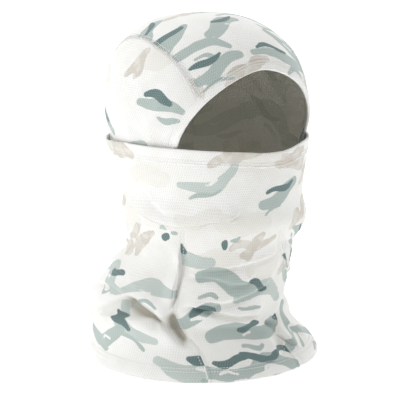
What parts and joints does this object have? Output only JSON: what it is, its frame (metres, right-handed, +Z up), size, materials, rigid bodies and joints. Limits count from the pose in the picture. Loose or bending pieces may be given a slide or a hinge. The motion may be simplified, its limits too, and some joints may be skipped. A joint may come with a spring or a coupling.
{
  "type": "camouflage balaclava face mask",
  "caption": "Stretch-knit camouflage balaclava: open-face hood, full neck tube with flared hem, and a face mask with an elastic top edge that slides down off the nose.",
  "frame": {"origin": "middle of the bottom hem's box, on the surface that the hem stands on", "axes": "+Z up to the crown, -Y the way the face looks, -X the wearer's right"},
  "size_m": [0.2228, 0.2152, 0.32],
  "materials": {
    "camo_knit": "snow camouflage print in off-white, warm grey and grey-green on a matte polyester mesh knit",
    "hem_knit": "the same printed knit folded double, matte",
    "sewing_thread": "off-white polyester thread, slight sheen",
    "elastic_tape": "white braided elastic, matte"
  },
  "bodies": {
    "root": {"crown_panel": "camo_knit", "side_panel_right": "camo_knit", "side_panel_left": "camo_knit", "face_hem": "hem_knit", "face_elastic": "elastic_tape", "crown_seam_thread_right": "sewing_thread", "crown_seam_thread_left": "sewing_thread", "chin_seam_thread": "sewing_thread", "face_hem_thread": "sewing_thread", "neck_front_panel": "camo_knit", "neck_back_panel": "camo_knit", "neck_seam_thread_right": "sewing_thread", "neck_seam_thread_left": "sewing_thread", "collar_seam_thread": "sewing_thread", "bottom_hem": "hem_knit", "bottom_hem_thread": "sewing_thread"},
    "mask_wall": {"mask_panel": "camo_knit", "mask_back_seam_thread": "sewing_thread"},
    "mask_edge": {"mask_hem": "hem_knit", "mask_elastic": "elastic_tape", "mask_hem_thread": "sewing_thread"}
  },
  "joints": [
    {"name": "mask_pull_down", "type": "slide", "parent": "root", "child": "mask_edge", "axis": [0, 0, 1], "range_m": [-0.085, 0]},
    {"name": "mask_gather", "type": "slide", "parent": "root", "child": "mask_wall", "axis": [0, 0, 1], "range_m": [-0.0385, 0]}
  ],
  "couplings": [
    {"joint": "mask_gather", "follows": "mask_pull_down", "ratio": 0.45}
  ]
}
